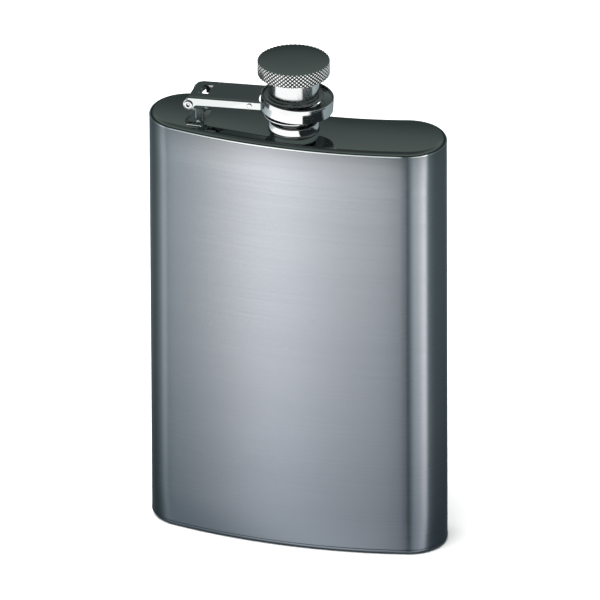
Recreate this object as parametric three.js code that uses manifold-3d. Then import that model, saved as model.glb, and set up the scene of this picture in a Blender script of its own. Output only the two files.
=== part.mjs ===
// Stainless hip flask: a kidney-section body, and a knurled screw cap held captive on a hinged arm.
// Millimetres, +Z up, +Y towards the hollow back. The origin is under the middle of the body's footprint.
import * as THREE from 'three';
import { mergeVertices } from 'three/addons/utils/BufferGeometryUtils.js';
import Module from 'manifold-3d';

const wasm = await Module();
wasm.setup();

// ---- Driving dimensions ---------------------------------------------------------------------

// The section is four tangent arcs: a bowed front, a hollow back and a round lobe at each end.
// Depths are measured from the cap's axis, which stands on the section's centre line.
const body = {
  width: 92,
  height: 134.5,
  frontDepth: 11.6,
  backDepth: 11.9,
  lobeRadius: 12,
  lobeOffset: 4.3,
  wall: 0.6,
  topRound: 1.65,
  bottomRound: 1.15,
};

const spout = {
  bore: 4.4,
  tube: 5.1,
  threadCrest: 5.5,
  threadPitch: 2,
  threadTurns: 2.6,
  threadSection: 0.5,
  height: 12.5,
  lip: 0.25,
  footRadius: 7,
  footThickness: 0.8,
};

const collar = { radius: 7.35, height: 3.1, edge: 0.4 };

const cap = {
  headRadius: 10.85,
  headHeight: 4.5,
  headEdge: 0.35,
  top: 23,
  skirtRadius: 7.65,
  shoulder: 11.55,
  sleeveRadius: 7.1,
  bottom: 5.1,
  bore: 6.5,
  threadCrest: 6.08,
  spigotRadius: 6.6,
  spigotLength: 0.8,
  gasketThickness: 1.6,
};

const washer = { radius: 9.1, thickness: 0.4 };
const swage = { radius: 9, thickness: 0.5 };

const ring = {
  radius: 10.95,
  wall: 0.5,
  height: 4.4,
  webDrop: 1.1,
  webThickness: 0.5,
  hole: 7.9,
  centreShift: 0.9,
  bottom: 7,
  tilt: 3.5,
  tangLength: 4.6,
  tangHeight: 1.3,
  tangThickness: 0.6,
};

const pin = { x: -31.1, z: 6.75, radius: 0.9, headRadius: 1.35, headLength: 0.5 };
const pinWasher = { radius: 1.75, thickness: 0.3 };

const arm = {
  width: 12.1,
  sheet: 0.6,
  earRadius: 1.65,
  earRun: 2.6,
  sheetBack: 0.2,
  rise: 2.35,
  slope: 3,
  flange: 2.5,
  slotLength: 3.1,
  slotWidth: 5.7,
  slotInset: 3.1,
  slotStart: 2,
};

const bracket = {
  baseBack: 0.8,
  baseFront: 4.3,
  sheet: 0.7,
  earRadius: 1.5,
  stemBack: 0.1,
  stemFront: 2.6,
  footHeight: 1.7,
  earReach: 4.9,
};

const rivet = { radius: 0.5, headRadius: 0.85, tailRadius: 0.72, headLength: 0.3, fromRing: 1.7 };

// ---- Clearances -----------------------------------------------------------------------------

const fit = 0.05;        // between pieces that are soldered, pressed or swaged together
const running = 0.06;    // round the hinge pin
const slack = 0.35;      // between pieces that move past one another
const reach = 60;        // how far a cutting block runs past what it cuts

// ---- Facets ---------------------------------------------------------------------------------

const lobeSteps = 7;
const fillSteps = 48;
const headSteps = 64;
const roundSteps = 4;
const smallSteps = 16;
const threadSteps = 16;
const threadSides = 6;

// ---- Places worked out from the dimensions --------------------------------------------------

const plateTop = body.height;
const capAxisY = -(body.lobeOffset + body.lobeRadius - body.frontDepth) / 2;
const sleeveRoof = spout.height + slack + cap.gasketThickness;
const headBottom = cap.top - cap.headHeight;
const earGap = arm.width / 2 - arm.sheet - bracket.earReach;
const ringLeft = ring.centreShift - ring.radius;

// ---- Solids ---------------------------------------------------------------------------------

function toSolid(geometry) {
  const bare = geometry.index ? geometry : geometry.clone();
  for (const name of Object.keys(bare.attributes)) {
    if (name !== 'position') bare.deleteAttribute(name);
  }
  const merged = mergeVertices(bare, 1e-5);
  const vertProperties = new Float32Array(merged.attributes.position.array);
  const triVerts = new Uint32Array(merged.index.array);
  return new wasm.Manifold(new wasm.Mesh({ numProp: 3, vertProperties, triVerts }));
}

function toGeometry(solid) {
  const made = solid.getMesh();
  const geometry = new THREE.BufferGeometry();
  geometry.setAttribute('position', new THREE.BufferAttribute(made.vertProperties, 3));
  geometry.setIndex(new THREE.BufferAttribute(made.triVerts, 1));
  geometry.computeVertexNormals();
  return geometry;
}

function lathe(points, steps = fillSteps) {
  const profile = points.map(([r, z]) => new THREE.Vector2(r, z));
  return new THREE.LatheGeometry(profile, steps).rotateX(Math.PI / 2);
}

// A turned solid whose outline is given as [radius, height] points.
function turned(points, steps) {
  const geometry = lathe(points, steps);
  const solid = toSolid(geometry);
  return solid.volume() > 0 ? solid : toSolid(flipped(geometry));
}

function flipped(geometry) {
  const index = geometry.index.array;
  for (let i = 0; i < index.length; i += 3) {
    [index[i], index[i + 1]] = [index[i + 1], index[i]];
  }
  return geometry;
}

function tube(inner, outer, bottom, top, steps) {
  return turned([[inner, bottom], [outer, bottom], [outer, top], [inner, top], [inner, bottom]], steps);
}

function rod(radius, bottom, top, steps) {
  return turned([[0, bottom], [radius, bottom], [radius, top], [0, top]], steps);
}

// A rod along Y between two places, centred on x and z.
function crossRod(radius, x, z, from, to) {
  const geometry = new THREE.CylinderGeometry(radius, radius, to - from, smallSteps);
  return toSolid(geometry.translate(x, (from + to) / 2, z));
}

function block(x0, x1, y0, y1, z0, z1) {
  const geometry = new THREE.BoxGeometry(x1 - x0, y1 - y0, z1 - z0);
  return toSolid(geometry.translate((x0 + x1) / 2, (y0 + y1) / 2, (z0 + z1) / 2));
}

// A plate whose side view is a Shape of x and z, standing between two places along Y.
function sidePlate(shape, from, to) {
  const geometry = new THREE.ExtrudeGeometry(shape, { depth: to - from, bevelEnabled: false, curveSegments: 6 });
  return toSolid(geometry.rotateX(Math.PI / 2).translate(0, to, 0));
}

// ---- Body outline ---------------------------------------------------------------------------

// The kidney section, moved inwards by inset. Its arcs stay tangent at every inset.
function section(inset) {
  const lobeX = body.width / 2 - body.lobeRadius;
  const frontY = (lobeX * lobeX + body.lobeOffset ** 2 - (body.frontDepth - body.lobeRadius) ** 2)
    / (2 * (body.frontDepth - body.lobeRadius + body.lobeOffset));
  const backY = (lobeX * lobeX + body.lobeOffset ** 2 - (body.backDepth - body.lobeRadius) ** 2)
    / (2 * (body.lobeOffset + body.lobeRadius - body.backDepth));
  const frontTurn = Math.atan2(lobeX, frontY - body.lobeOffset);
  const backTurn = Math.atan2(lobeX, backY - body.lobeOffset);
  const down = -Math.PI / 2;
  const shape = new THREE.Shape();
  const lobe = body.lobeRadius - inset;
  shape.absarc(0, frontY, frontY + body.frontDepth - inset, down - frontTurn, down + frontTurn, false);
  shape.absarc(lobeX, body.lobeOffset, lobe, down + frontTurn, -down + backTurn, false);
  shape.absarc(0, backY, backY - body.backDepth + inset, down + backTurn, down - backTurn, true);
  shape.absarc(-lobeX, body.lobeOffset, lobe, -down - backTurn, 3 * -down - frontTurn, false);
  return shape;
}

function outline(inset) {
  const points = section(inset).getPoints(lobeSteps);
  const last = points[points.length - 1];
  return last.distanceTo(points[0]) < 1e-6 ? points.slice(0, -1) : points;
}

// A closed solid through a stack of outlines, each given as { inset, z } from the bottom up.
function stacked(layers) {
  const loops = layers.map(({ inset, z }) => outline(inset).map((p) => [p.x, p.y, z]));
  const count = loops[0].length;
  const position = loops.flat(2);
  const index = [];
  for (let k = 0; k + 1 < loops.length; k += 1) {
    for (let i = 0; i < count; i += 1) {
      const a = k * count + i;
      const b = k * count + (i + 1) % count;
      index.push(a, b, b + count, a, b + count, a + count);
    }
  }
  const lid = (level, up) => {
    const flat = loops[level].map(([x, y]) => new THREE.Vector2(x, y));
    for (const [a, b, c] of THREE.ShapeUtils.triangulateShape(flat, [])) {
      const [p, q] = up ? [b, c] : [c, b];
      index.push(level * count + a, level * count + p, level * count + q);
    }
  };
  lid(0, false);
  lid(loops.length - 1, true);
  const geometry = new THREE.BufferGeometry();
  geometry.setAttribute('position', new THREE.Float32BufferAttribute(position, 3));
  geometry.setIndex(index);
  return toSolid(geometry);
}

// A slab of the section with a rounded upper edge.
function roundedSlab(inset, bottom, top, radius) {
  const layers = [{ inset, z: bottom }];
  for (let k = 0; k <= roundSteps; k += 1) {
    const turn = (k / roundSteps) * Math.PI / 2;
    layers.push({ inset: inset + radius * (1 - Math.cos(turn)), z: top - radius + radius * Math.sin(turn) });
  }
  return stacked(layers);
}

// A drawn end plate: a shallow lid of even wall with its rim down, seated on z = 0.
function endPlate(round) {
  const inner = round - body.wall;
  const outside = roundedSlab(0, 0, round, round);
  return outside.subtract(roundedSlab(body.wall, -body.wall, inner, inner));
}

// ---- Screw thread ---------------------------------------------------------------------------

class Helix extends THREE.Curve {
  constructor(radius, pitch, turns, start) {
    super();
    Object.assign(this, { radius, pitch, turns, start });
  }

  getPoint(t, target = new THREE.Vector3()) {
    const angle = t * this.turns * 2 * Math.PI;
    const z = this.start + t * this.turns * this.pitch;
    return target.set(this.radius * Math.cos(angle), this.radius * Math.sin(angle), z);
  }
}

function threadRidge(radius, start) {
  const wire = new THREE.Shape();
  for (let i = 0; i < threadSides; i += 1) {
    const angle = (i / threadSides) * 2 * Math.PI;
    const x = spout.threadSection * Math.cos(angle);
    const y = spout.threadSection * Math.sin(angle);
    if (i === 0) wire.moveTo(x, y);
    else wire.lineTo(x, y);
  }
  wire.closePath();
  const path = new Helix(radius, spout.threadPitch, spout.threadTurns, start);
  const steps = Math.round(spout.threadTurns * threadSteps);
  return toSolid(new THREE.ExtrudeGeometry(wire, { steps, extrudePath: path, curveSegments: 1 }));
}

// ---- Flask body -----------------------------------------------------------------------------

function bodyShell() {
  const bottom = body.bottomRound;
  const top = plateTop - body.topRound;
  const outside = stacked([{ inset: 0, z: bottom }, { inset: 0, z: top }]);
  const inside = stacked([{ inset: body.wall, z: bottom - 1 }, { inset: body.wall, z: top + 1 }]);
  return outside.subtract(inside);
}

function topPlate() {
  const plate = endPlate(body.topRound).translate([0, 0, plateTop - body.topRound]);
  return plate.subtract(rod(spout.tube + fit, plateTop - reach, plateTop + reach));
}

function bottomPlate() {
  return endPlate(body.bottomRound).mirror([0, 0, 1]).translate([0, 0, body.bottomRound]);
}

// ---- Neck, drawn with z = 0 on the top plate ------------------------------------------------

function neckSpout() {
  const under = -body.wall;
  const foot = under - spout.footThickness;
  const outside = turned([
    [0, foot], [spout.footRadius, foot], [spout.footRadius, under], [spout.tube, under],
    [spout.tube, spout.height - spout.lip], [spout.tube - spout.lip, spout.height], [0, spout.height],
  ]);
  const ridgeRadius = spout.threadCrest - spout.threadSection;
  const ridgeEnd = spout.height - 2 * spout.threadSection;
  const ridge = threadRidge(ridgeRadius, ridgeEnd - spout.threadPitch * spout.threadTurns);
  return outside.add(ridge).subtract(rod(spout.bore, foot - 1, spout.height + 1));
}

function neckCollar() {
  const { radius, height, edge } = collar;
  const inner = spout.tube + fit;
  return turned([
    [inner, 0], [radius, 0], [radius, height - edge], [radius - edge, height], [inner, height], [inner, 0],
  ]);
}

// ---- Cap, drawn closed with z = 0 on the top plate ------------------------------------------

function capHead() {
  const { headRadius, headEdge, top, spigotRadius, spigotLength } = cap;
  const recess = headBottom + spigotLength + fit;
  return turned([
    [0, recess], [spigotRadius + fit, recess], [spigotRadius + fit, headBottom], [headRadius - headEdge, headBottom],
    [headRadius, headBottom + headEdge], [headRadius, top - headEdge], [headRadius - headEdge, top], [0, top],
  ], headSteps);
}

function capSleeve() {
  const outside = turned([
    [0, cap.bottom], [cap.sleeveRadius, cap.bottom], [cap.sleeveRadius, cap.shoulder], [cap.skirtRadius, cap.shoulder],
    [cap.skirtRadius, headBottom], [cap.spigotRadius, headBottom], [cap.spigotRadius, headBottom + cap.spigotLength],
    [0, headBottom + cap.spigotLength],
  ]);
  const ridgeRadius = cap.threadCrest + spout.threadSection;
  const ridgeStart = cap.bottom + 2 * spout.threadSection;
  const bored = outside.subtract(rod(cap.bore, cap.bottom - 1, sleeveRoof));
  const ridge = threadRidge(ridgeRadius, ridgeStart);
  return bored.add(ridge);
}

function capGasket() {
  return rod(cap.bore - slack, spout.height + slack, sleeveRoof - fit);
}

function slipWasher() {
  return tube(cap.sleeveRadius + fit, washer.radius, cap.shoulder - fit - washer.thickness, cap.shoulder - fit);
}

function retainingWasher() {
  return tube(cap.sleeveRadius + fit, swage.radius, cap.bottom, cap.bottom + swage.thickness);
}

// ---- Hinged arm -----------------------------------------------------------------------------

// Heights along the arm's sloping top, for x measured from the pin.
function armTopAt(x) {
  return arm.rise + (x + arm.earRadius) * Math.tan(THREE.MathUtils.degToRad(arm.slope));
}

// The arm's side view: a round ear about the pin, and a flange under the sloping sheet.
function armSide(end) {
  const { sheetBack, earRadius, earRun, flange } = arm;
  const shape = new THREE.Shape();
  shape.moveTo(-sheetBack, armTopAt(-sheetBack));
  shape.absarc(0, 0, earRadius, Math.PI / 2, 7 * Math.PI / 4, false);
  shape.lineTo(earRun, armTopAt(earRun) - flange);
  shape.lineTo(end, armTopAt(end) - flange);
  shape.lineTo(end, armTopAt(end));
  shape.closePath();
  return shape;
}

function hingeArm() {
  const end = ring.centreShift - pin.x;
  const half = arm.width / 2;
  const hollow = half - arm.sheet;
  const under = new THREE.Shape();
  under.moveTo(-reach, armTopAt(-reach) - arm.sheet);
  under.lineTo(-reach, -reach);
  under.lineTo(reach, -reach);
  under.lineTo(reach, armTopAt(reach) - arm.sheet);
  under.closePath();
  let solid = sidePlate(armSide(end), -half, half);
  solid = solid.subtract(sidePlate(under, -hollow, hollow));
  solid = solid.subtract(crossRod(pin.radius + running, 0, 0, -reach, reach));
  solid = solid.subtract(armSlot(half));
  solid = solid.translate([pin.x, 0, pin.z]);
  solid = solid.subtract(rod(ring.radius + slack, -reach, reach).translate([ring.centreShift, 0, 0]));
  for (const side of [-1, 1]) {
    const [from, to] = [side * hollow, side * reach].sort((a, b) => a - b);
    solid = solid.subtract(crossRod(rivet.radius + fit, rivetX(), rivetZ(), from - 1, to));
  }
  return solid;
}

function armSlot(half) {
  const { slotStart, slotLength, slotWidth, slotInset, rise, sheet } = arm;
  const y = half - slotInset;
  return block(slotStart, slotStart + slotLength, y - slotWidth, y, rise - sheet - 1, reach);
}

function rivetX() {
  return ringLeft - slack - rivet.fromRing;
}

// The tangs lie level under the arm's sloping sheet, clear of it at their low end.
function rivetZ() {
  const lowEnd = ringLeft + ring.wall - ring.tangLength;
  return pin.z + armTopAt(lowEnd - pin.x) - arm.sheet - fit - ring.tangHeight / 2;
}

// The ring that carries the cap: a short drawn cup with a hole in its web, and two tangs to the arm.
function captiveRing() {
  const { radius, wall, height, webDrop, webThickness, hole } = ring;
  const inner = radius - wall;
  const web = height - webDrop;
  let cup = turned([
    [0, web - webThickness], [inner, web - webThickness], [inner, 0], [radius, 0],
    [radius, height], [inner, height], [inner, web], [0, web],
  ]);
  cup = cup.rotate([0, ring.tilt, 0]).translate([ring.centreShift, 0, ring.bottom]);
  cup = cup.subtract(rod(hole, 0, ring.bottom + height));
  for (const side of [-1, 1]) cup = cup.add(ringTang(side));
  const clear = rod(inner, -reach, web - webThickness).rotate([0, ring.tilt, 0]);
  return cup.subtract(clear.translate([ring.centreShift, 0, ring.bottom]));
}

function ringTang(side) {
  const outer = arm.width / 2 - arm.sheet - fit;
  const [y0, y1] = [side * outer, side * (outer - ring.tangThickness)].sort((a, b) => a - b);
  const z = rivetZ();
  const half = ring.tangHeight / 2;
  const x0 = ringLeft + ring.wall - ring.tangLength;
  const x1 = ring.centreShift - Math.sqrt(ring.radius ** 2 - outer ** 2) + ring.wall;
  const tang = block(x0, x1, y0, y1, z - half, z + half);
  return tang.subtract(crossRod(rivet.radius + fit, rivetX(), z, y0 - 1, y1 + 1));
}

function ringRivet(side) {
  const outer = arm.width / 2;
  const inner = outer - arm.sheet - fit - ring.tangThickness;
  const span = (a, b) => [side * a, side * b].sort((p, q) => p - q);
  const { radius, headRadius, tailRadius, headLength } = rivet;
  const shank = crossRod(radius, rivetX(), rivetZ(), ...span(inner - fit, outer + 2 * fit));
  const head = crossRod(headRadius, rivetX(), rivetZ(), ...span(outer + fit, outer + fit + headLength));
  const tail = crossRod(tailRadius, rivetX(), rivetZ(), ...span(inner - fit - headLength, inner - fit));
  return shank.add(head).add(tail);
}

// ---- Hinge ----------------------------------------------------------------------------------

function hingeBracket() {
  const { baseBack, baseFront, sheet, earRadius, stemBack, stemFront, footHeight, earReach } = bracket;
  const ear = new THREE.Shape();
  ear.moveTo(-stemBack, -pin.z);
  ear.lineTo(stemFront, -pin.z);
  ear.lineTo(stemFront, -pin.z + footHeight);
  ear.absarc(0, 0, earRadius, 0, Math.PI, false);
  ear.lineTo(-stemBack, -pin.z + footHeight);
  ear.closePath();
  let solid = block(-baseBack, baseFront, -earReach, earReach, -pin.z, -pin.z + sheet);
  for (const side of [-1, 1]) {
    const [from, to] = [side * earReach, side * (earReach - sheet)].sort((a, b) => a - b);
    solid = solid.add(sidePlate(ear, from, to));
  }
  solid = solid.subtract(crossRod(pin.radius + running, 0, 0, -reach, reach));
  return solid.translate([pin.x, 0, pin.z]);
}

function hingePin() {
  const shank = arm.width / 2 + running;
  const head = shank + pin.headLength;
  const rodThrough = crossRod(pin.radius, pin.x, pin.z, -shank, shank);
  const front = crossRod(pin.headRadius, pin.x, pin.z, -head, -shank);
  const rear = crossRod(pin.headRadius, pin.x, pin.z, shank, head);
  return rodThrough.add(front).add(rear);
}

function hingeWasher(side) {
  const middle = side * (bracket.earReach + earGap / 2);
  const half = Math.min(pinWasher.thickness, earGap - 2 * fit) / 2;
  const disc = crossRod(pinWasher.radius - slack, pin.x, pin.z, middle - half, middle + half);
  return disc.subtract(crossRod(pin.radius + running, pin.x, pin.z, middle - 1, middle + 1));
}

// ---- Finishes -------------------------------------------------------------------------------

const finishes = {
  brushed: { color: 0xb9bec4, roughness: 0.38, metalness: 1 },
  mirror: { color: 0x8c9493, roughness: 0.06, metalness: 1 },
  bright: { color: 0xd4d6d6, roughness: 0.14, metalness: 1 },
  turnedSteel: { color: 0xc4c8c9, roughness: 0.22, metalness: 1 },
  seal: { color: 0xd9d8d2, roughness: 0.6, metalness: 0 },
};

// ---- The flask ------------------------------------------------------------------------------

const flask = new THREE.Group();
const aboutCapAxis = new THREE.Group();
aboutCapAxis.position.set(0, capAxisY, 0);
const onTopPlate = new THREE.Group();
onTopPlate.position.set(0, 0, plateTop);
flask.add(aboutCapAxis);
aboutCapAxis.add(onTopPlate);

function place(name, solid, finish, parent) {
  const mesh = new THREE.Mesh(toGeometry(solid), new THREE.MeshStandardMaterial(finishes[finish]));
  mesh.name = name;
  parent.add(mesh);
}

place('body_shell', bodyShell(), 'brushed', aboutCapAxis);
place('top_plate', topPlate(), 'mirror', aboutCapAxis);
place('bottom_plate', bottomPlate(), 'brushed', aboutCapAxis);
place('neck_spout', neckSpout(), 'turnedSteel', onTopPlate);
place('neck_collar', neckCollar(), 'bright', onTopPlate);
place('hinge_bracket', hingeBracket(), 'bright', onTopPlate);
place('hinge_pin', hingePin(), 'bright', onTopPlate);
place('pin_washer_front', hingeWasher(-1), 'bright', onTopPlate);
place('pin_washer_rear', hingeWasher(1), 'bright', onTopPlate);
place('hinge_arm', hingeArm(), 'mirror', onTopPlate);
place('captive_ring', captiveRing(), 'bright', onTopPlate);
place('ring_rivet_front', ringRivet(-1), 'bright', onTopPlate);
place('ring_rivet_rear', ringRivet(1), 'bright', onTopPlate);
place('slip_washer', slipWasher(), 'bright', onTopPlate);
place('retaining_washer', retainingWasher(), 'bright', onTopPlate);
place('cap_head', capHead(), 'turnedSteel', onTopPlate);
place('cap_sleeve', capSleeve(), 'bright', onTopPlate);
place('cap_gasket', capGasket(), 'seal', onTopPlate);

export default flask;
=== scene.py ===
"""Looks for a stainless hip flask: a brushed kidney-section body, a mirror top plate, and a
knurled screw cap
held captive in a ring on a hinged arm. Lengths in the dimension blocks are millimetres; Blender
works in metres."""

import math

import bpy
import numpy as np
from mathutils import Matrix, Vector


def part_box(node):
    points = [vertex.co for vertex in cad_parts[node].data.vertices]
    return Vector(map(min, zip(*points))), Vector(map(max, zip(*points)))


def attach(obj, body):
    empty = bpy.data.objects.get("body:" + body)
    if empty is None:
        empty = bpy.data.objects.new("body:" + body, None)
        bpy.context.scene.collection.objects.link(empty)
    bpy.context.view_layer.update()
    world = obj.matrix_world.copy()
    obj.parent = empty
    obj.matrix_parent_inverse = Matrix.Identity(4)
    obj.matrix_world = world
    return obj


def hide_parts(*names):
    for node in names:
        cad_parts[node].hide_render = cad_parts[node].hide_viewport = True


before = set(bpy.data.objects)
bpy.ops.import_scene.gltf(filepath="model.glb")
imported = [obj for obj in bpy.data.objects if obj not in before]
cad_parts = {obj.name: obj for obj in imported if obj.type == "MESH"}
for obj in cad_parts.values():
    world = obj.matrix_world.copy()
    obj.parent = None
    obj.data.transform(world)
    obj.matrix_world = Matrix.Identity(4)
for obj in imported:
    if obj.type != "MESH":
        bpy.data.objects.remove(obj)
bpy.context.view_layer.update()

MM = 0.001

# ---- Sizes read from the frame -------------------------------------------------------------------

shell_low, shell_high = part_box("body_shell")
plate_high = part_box("top_plate")[1]
head_low, head_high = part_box("cap_head")
sleeve_low, sleeve_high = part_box("cap_sleeve")
collar_low, collar_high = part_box("neck_collar")
spout_low, spout_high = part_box("neck_spout")
arm_low, arm_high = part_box("hinge_arm")
pin_low, pin_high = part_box("hinge_pin")
bracket_low, bracket_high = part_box("hinge_bracket")
slip_low, slip_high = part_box("slip_washer")
swage_low, swage_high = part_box("retaining_washer")

PLATE_Z = plate_high.z
AXIS_Y = (head_low.y + head_high.y) / 2


def above_plate(z):
    """A height in the row frame as millimetres above the top plate."""
    return (z - PLATE_Z) / MM


WIDTH = round((shell_high.x - shell_low.x) / MM, 1)
DEPTH = round((shell_high.y - shell_low.y) / MM, 1)
HEIGHT = PLATE_Z / MM
TOP_ROUND = (PLATE_Z - shell_high.z) / MM
BOTTOM_ROUND = shell_low.z / MM
FRONT_DEPTH = (AXIS_Y - shell_low.y) / MM
LOBE_REACH = DEPTH - FRONT_DEPTH

# ---- Sizes of the visible detail -----------------------------------------------------------------

LOBE_RADIUS = 12.0
BACK_DEPTH = 11.9
WALL = 0.6
SEAM_STEP = 0.1
RIM_BREAK = 0.18
SECTION_STEPS = 40

KNURLS_ROUND = 52
KNURL_DEPTH = 0.32
KNURL_ROWS = 3.5
KNURL_FINENESS = 8
KNURL_FLAT = 0.5

RING_RADIUS = 10.95
RING_WALL = 0.5
RING_HEIGHT = 4.4
RING_WEB_DROP = 1.1
RING_WEB = 0.5
RING_HOLE = 7.9
RING_SHIFT = 0.9
RING_BOTTOM = 7.0
RING_TILT = math.radians(3.5)

ARM_SHEET = 0.6
ARM_EAR = 1.65
ARM_BACK = 0.2
ARM_RISE = 2.35
ARM_SLOPE = math.tan(math.radians(3.0))
ARM_FLANGE = 2.5
ARM_RUN = 2.6
ARM_GAP = 0.35
ARM_BEND = 0.45
ARM_CORNER = 1.6
WINDOW_X = (2.0, 5.1)
WINDOW_Y = (-2.75, 2.95)
TAB_DEPTH = 1.9

TURN_STEPS = 160


# ---- Mesh helpers --------------------------------------------------------------------------------

def to_row(points):
    """Millimetres about the cap's axis and above the top plate, as metres in the row frame."""
    moved = np.asarray(points, float) * MM
    return moved + np.array([0.0, AXIS_Y, PLATE_Z])


def make_piece(name, points, faces, body, slot, material, replaces=(), crease=32):
    mesh = bpy.data.meshes.new(name)
    mesh.from_pydata([tuple(p) for p in to_row(points)], [], faces)
    mesh.validate()
    mesh.shade_smooth()
    mesh.set_sharp_from_angle(angle=math.radians(crease))
    mesh.materials.append(material)
    piece = bpy.data.objects.new(name, mesh)
    bpy.context.scene.collection.objects.link(piece)
    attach(piece, body)
    if replaces:
        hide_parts(*replaces)
    return piece


def rounded(corners, steps=5):
    """An outline through (r, z, fillet) corners, with each fillet drawn as an arc."""
    line = []
    count = len(corners)
    for i, (r, z, fillet) in enumerate(corners):
        here = Vector((r, z))
        if fillet <= 0 or i in (0, count - 1):
            line.append((r, z))
            continue
        before = (Vector(corners[i - 1][:2]) - here).normalized()
        after = (Vector(corners[i + 1][:2]) - here).normalized()
        half = before.angle(after) / 2
        reach = fillet / math.tan(half)
        middle = here + (before + after).normalized() * (fillet / math.sin(half))
        start, end = here + before * reach - middle, here + after * reach - middle
        turn = start.angle_signed(end)
        for k in range(steps + 1):
            spot = start.copy()
            spot.rotate(Matrix.Rotation(-turn * k / steps, 2))
            line.append(tuple(middle + spot))
    return line


def turned(outline, steps=TURN_STEPS):
    """Points and faces of a turned piece about the cap's axis. An open outline ends on the axis."""
    closed = outline[0] == outline[-1]
    line = outline[:-1] if closed else outline
    points, rows = [], []
    for r, z in line:
        if r < 1e-6:
            rows.append([len(points)] * steps)
            points.append((0, 0, z))
            continue
        first = len(points)
        rows.append(list(range(first, first + steps)))
        for k in range(steps):
            angle = 2 * math.pi * k / steps
            points.append((r * math.cos(angle), r * math.sin(angle), z))
    faces = []
    for i in range(len(rows) if closed else len(rows) - 1):
        low, high = rows[i], rows[(i + 1) % len(rows)]
        for k in range(steps):
            n = (k + 1) % steps
            quad = [low[k], low[n], high[n], high[k]]
            face = [v for j, v in enumerate(quad) if v != quad[j - 1]]
            if len(face) > 2:
                faces.append(face)
    return outward(points, faces)


def outward(points, faces):
    """Turns every face over if the closed shape is inside out."""
    p = np.asarray(points, float)
    volume = 0.0
    for f in faces:
        for j in range(1, len(f) - 1):
            volume += np.dot(p[f[0]], np.cross(p[f[j]], p[f[j + 1]]))
    return points, faces if volume > 0 else [list(reversed(f)) for f in faces]


def tilted(points):
    """Leans a piece with the captive ring."""
    lean = Matrix.Rotation(RING_TILT, 3, "Y")
    base = Vector((RING_SHIFT, 0, RING_BOTTOM))
    return [tuple(lean @ Vector(p) + base) for p in points]


def folded(outer, inner, gone=()):
    """A sheet piece from two matching grids of points, its outer and inner skins. Cells in gone
    are left open."""
    rows, columns = len(outer), len(outer[0])
    points = [p for row in outer for p in row] + [p for row in inner for p in row]
    under = rows * columns
    faces, edges = [], {}
    for i in range(rows - 1):
        for j in range(columns - 1):
            if (i, j) in gone:
                continue
            a, b = i * columns + j, i * columns + j + 1
            c, d = b + columns, a + columns
            faces.append([a, b, c, d])
            faces.append([d + under, c + under, b + under, a + under])
            for edge in ((a, b), (b, c), (c, d), (d, a)):
                edges[edge] = True
    for a, b in edges:
        if (b, a) not in edges:
            faces.append([b, a, a + under, b + under])
    return outward(points, faces)


def helix_wire(radius, thickness, start, end, pitch, sides=8, per_turn=48):
    """A round ridge wound as a right-hand thread, fading into the wall at both ends."""
    turns = (end - start) / pitch
    steps = int(turns * per_turn)
    points, faces = [], []
    for i in range(steps + 1):
        share = i / steps
        fade = min(1.0, min(share, 1 - share) * turns * 4)
        angle = share * turns * 2 * math.pi
        for k in range(sides):
            round_it = 2 * math.pi * k / sides
            out = radius + thickness * (fade * math.cos(round_it) - (1 - fade) * 0.9)
            up = start + share * (end - start) + thickness * math.sin(round_it)
            points.append((out * math.cos(angle), out * math.sin(angle), up))
    for i in range(steps):
        for k in range(sides):
            n = (k + 1) % sides
            faces.append([i * sides + k, i * sides + n, (i + 1) * sides + n, (i + 1) * sides + k])
    faces.append(list(range(sides)))
    faces.append(list(reversed(range(steps * sides, steps * sides + sides))))
    return outward(points, faces)


# ---- Node helpers --------------------------------------------------------------------------------

class Nodes:
    """Short calls for placing and linking nodes in one tree."""

    def __init__(self, tree):
        self.tree = tree

    def add(self, kind, **settings):
        node = self.tree.nodes.new("ShaderNode" + kind)
        for name, value in settings.items():
            setattr(node, name, value)
        return node

    def link(self, source, target):
        self.tree.links.new(source, target)

    def math(self, operation, a, b=None, clamp=False):
        node = self.add("Math", operation=operation, use_clamp=clamp)
        for socket, value in zip(node.inputs, (a, b)):
            self.feed(socket, value)
        return node.outputs[0]

    def feed(self, socket, value):
        if value is None:
            return
        if isinstance(value, bpy.types.NodeSocket):
            self.link(value, socket)
        else:
            socket.default_value = value

    def spread(self, value, low, high, out_low, out_high):
        node = self.add("MapRange", clamp=True)
        for socket, item in zip(node.inputs, (value, low, high, out_low, out_high)):
            self.feed(socket, item)
        return node.outputs[0]

    def noise(self, vector, scale, detail=2.0, rough=0.5):
        node = self.add("TexNoise")
        self.feed(node.inputs["Vector"], vector)
        self.feed(node.inputs["Scale"], scale)
        node.inputs["Detail"].default_value = detail
        node.inputs["Roughness"].default_value = rough
        return node.outputs["Fac"]

    def stretched(self, vector, scale):
        node = self.add("Mapping")
        self.link(vector, node.inputs["Vector"])
        node.inputs["Scale"].default_value = scale
        return node.outputs["Vector"]

    def tint(self, factor, dark, light):
        node = self.add("Mix", data_type="RGBA")
        self.feed(node.inputs[0], factor)
        node.inputs[6].default_value = (*dark, 1)
        node.inputs[7].default_value = (*light, 1)
        return node.outputs[2]

    def ramp(self, factor, stops, interpolation="LINEAR"):
        node = self.add("ValToRGB")
        self.feed(node.inputs[0], factor)
        node.color_ramp.interpolation = interpolation
        elements = node.color_ramp.elements
        while len(elements) > 1:
            elements.remove(elements[-1])
        elements[0].position = stops[0][0]
        elements[0].color = (*stops[0][1], 1)
        for place, colour in stops[1:]:
            elements.new(place).color = (*colour, 1)
        return node.outputs[0]


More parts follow.
